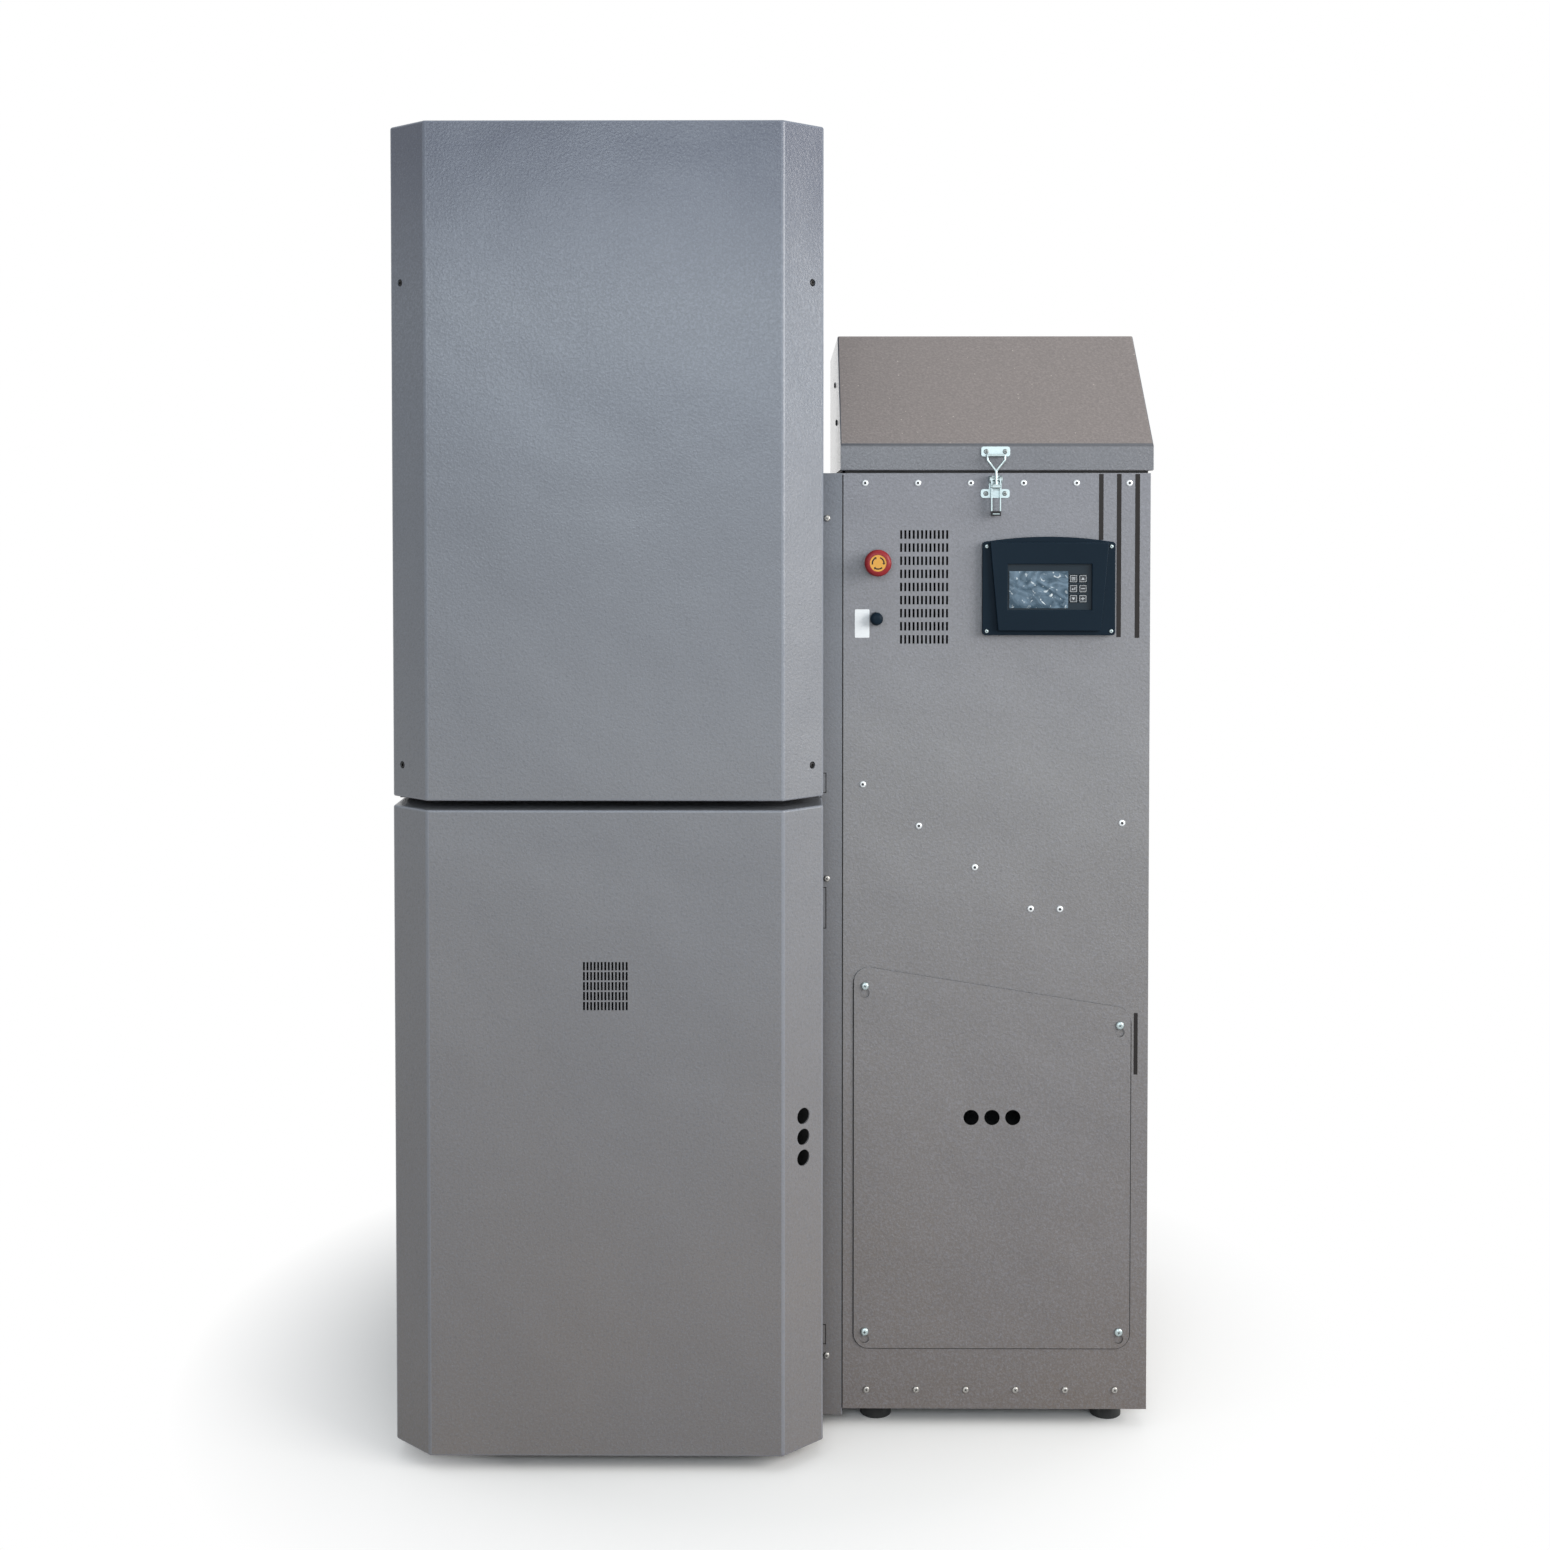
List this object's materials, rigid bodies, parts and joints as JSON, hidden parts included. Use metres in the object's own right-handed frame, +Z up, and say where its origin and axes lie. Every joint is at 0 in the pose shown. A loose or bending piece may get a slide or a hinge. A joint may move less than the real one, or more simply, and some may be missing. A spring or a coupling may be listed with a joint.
{
  "type": "pellet boiler",
  "caption": "Floor-standing pellet boiler: tall casing with chamfered cover and door, beside a lidded pellet cabinet with feed screw, burner and controls.",
  "frame": {"origin": "on the floor under the middle of the boiler's base", "axes": "+X to the right along the front, +Y to the back, +Z up"},
  "size_m": [0.9525, 0.835, 1.643],
  "materials": {
    "grey_powder_coat": "fine hammered grey powder coat",
    "black_coated_steel": "matt black heat-resistant paint",
    "raw_steel": "bare mill steel",
    "galvanised_sheet": "galvanised",
    "zinc_plated_steel": "bright zinc plating",
    "black_screw": "black oxide",
    "black_plastic": "fine moulded texture",
    "key_plastic": "membrane key with pale print",
    "display_glass": "dark screen under a clear film",
    "stop_red": "moulded red",
    "stop_stem_plastic": "moulded black",
    "seal_rubber": "foam rubber",
    "cast_aluminium": "cast, matt"
  },
  "bodies": {
    "boiler": {"ash_box": "galvanised_sheet", "base_frame": "black_coated_steel", "bin_rim": "galvanised_sheet", "bin_sheets": "galvanised_sheet", "boiler_vessel": "raw_steel", "burner_body": "black_coated_steel", "cabinet_back_panel": "grey_powder_coat", "cabinet_base": "black_coated_steel", "cabinet_front_panel": "grey_powder_coat", "cabinet_left_panel": "grey_powder_coat", "cabinet_right_panel": "grey_powder_coat", "controller_bezel": "black_plastic", "controller_box": "black_plastic", "controller_display": "display_glass", "cover_hook_screws": "zinc_plated_steel", "cover_screws": "black_screw", "door_hinge_plates": "black_coated_steel", "estop_block": "black_plastic", "feed_motor": "cast_aluminium", "feed_trough": "galvanised_sheet", "firebox_hatch": "black_coated_steel", "flame_tube": "raw_steel", "flue_collar": "raw_steel", "front_frame": "black_coated_steel", "front_rivets": "zinc_plated_steel", "hatch_knobs": "black_plastic", "jacket_back_panel": "grey_powder_coat", "jacket_left_panel": "grey_powder_coat", "jacket_right_panel": "grey_powder_coat", "jacket_top_panel": "grey_powder_coat", "joining_strip": "grey_powder_coat", "latch_base": "zinc_plated_steel", "lid_hinge_leaves": "zinc_plated_steel", "lid_seal": "seal_rubber", "panel_screws": "zinc_plated_steel", "smokebox_hatch": "black_coated_steel", "thermostat_body": "black_plastic", "turbulators": "raw_steel", "upper_front_cover": "grey_powder_coat", "water_sockets": "raw_steel"},
    "front_door": {"lower_front_door": "grey_powder_coat", "door_hinge_strap": "black_coated_steel", "hinge_bolts": "zinc_plated_steel"},
    "lid": {"bin_lid": "grey_powder_coat", "latch_strike": "zinc_plated_steel", "lid_hinge_flaps": "zinc_plated_steel"},
    "latch_handle": {"latch_lever": "zinc_plated_steel"},
    "latch_wire": {"latch_loop": "zinc_plated_steel"},
    "stop_plunger": {"estop_plunger": "stop_stem_plastic"},
    "stop_button": {"estop_head": "stop_red"},
    "thermostat_cap": {"reset_cap": "black_plastic"},
    "lift_off_cover": {"access_cover": "grey_powder_coat"},
    "pellet_screw": {"feed_screw": "raw_steel"},
    "fan_wheel": {"burner_fan": "raw_steel"},
    "button_menu": {"key_menu": "key_plastic"},
    "button_up": {"key_up": "key_plastic"},
    "button_enter": {"key_enter": "key_plastic"},
    "button_minus": {"key_minus": "key_plastic"},
    "button_down": {"key_down": "key_plastic"},
    "button_plus": {"key_plus": "key_plastic"}
  },
  "joints": [
    {"name": "front_door_swing", "type": "hinge", "parent": "boiler", "child": "front_door", "pos_m": [-0.252, -0.343, 0.416], "axis": [0, 0, -1], "range_deg": [0, 100]},
    {"name": "lid_swing", "type": "hinge", "parent": "boiler", "child": "lid", "pos_m": [0.4855, 0.2458, 1.2235], "axis": [-1, 0, 0], "range_deg": [0, 75]},
    {"name": "latch_handle_swing", "type": "hinge", "parent": "boiler", "child": "latch_handle", "pos_m": [0.4834, -0.3274, 1.214], "axis": [-1, 0, 0], "range_deg": [0, 120]},
    {"name": "latch_wire_swing", "type": "hinge", "parent": "latch_handle", "child": "latch_wire", "pos_m": [0.4834, -0.3314, 1.205], "axis": [-1, 0, 0], "range_deg": [-132, 0]},
    {"name": "stop_press", "type": "slide", "parent": "boiler", "child": "stop_plunger", "axis": [0, 1, 0], "range_m": [0, 0.004]},
    {"name": "stop_turn", "type": "hinge", "parent": "stop_plunger", "child": "stop_button", "pos_m": [0.3345, -0.34, 1.1087], "axis": [0, 1, 0], "range_deg": [0, 45]},
    {"name": "thermostat_cap_turn", "type": "hinge", "parent": "boiler", "child": "thermostat_cap", "pos_m": [0.3333, -0.326, 1.0378], "axis": [0, -1, 0], "continuous": true},
    {"name": "cover_lift", "type": "slide", "parent": "boiler", "child": "lift_off_cover", "axis": [0, 0, 1], "range_m": [0, 0.009]},
    {"name": "pellet_screw_turn", "type": "hinge", "parent": "boiler", "child": "pellet_screw", "pos_m": [0.549, -0.04, 0.616], "axis": [0, 1, 0], "continuous": true},
    {"name": "fan_turn", "type": "hinge", "parent": "boiler", "child": "fan_wheel", "pos_m": [0.633, -0.17, 0.4], "axis": [1, 0, 0], "continuous": true},
    {"name": "button_menu_press", "type": "slide", "parent": "boiler", "child": "button_menu", "axis": [0, 1, 0], "range_m": [0, 0.0008]},
    {"name": "button_up_press", "type": "slide", "parent": "boiler", "child": "button_up", "axis": [0, 1, 0], "range_m": [0, 0.0008]},
    {"name": "button_enter_press", "type": "slide", "parent": "boiler", "child": "button_enter", "axis": [0, 1, 0], "range_m": [0, 0.0008]},
    {"name": "button_minus_press", "type": "slide", "parent": "boiler", "child": "button_minus", "axis": [0, 1, 0], "range_m": [0, 0.0008]},
    {"name": "button_down_press", "type": "slide", "parent": "boiler", "child": "button_down", "axis": [0, 1, 0], "range_m": [0, 0.0008]},
    {"name": "button_plus_press", "type": "slide", "parent": "boiler", "child": "button_plus", "axis": [0, 1, 0], "range_m": [0, 0.0008]}
  ],
  "couplings": [
    {"joint": "latch_wire_swing", "follows": "latch_handle_swing", "ratio": -1.1}
  ]
}
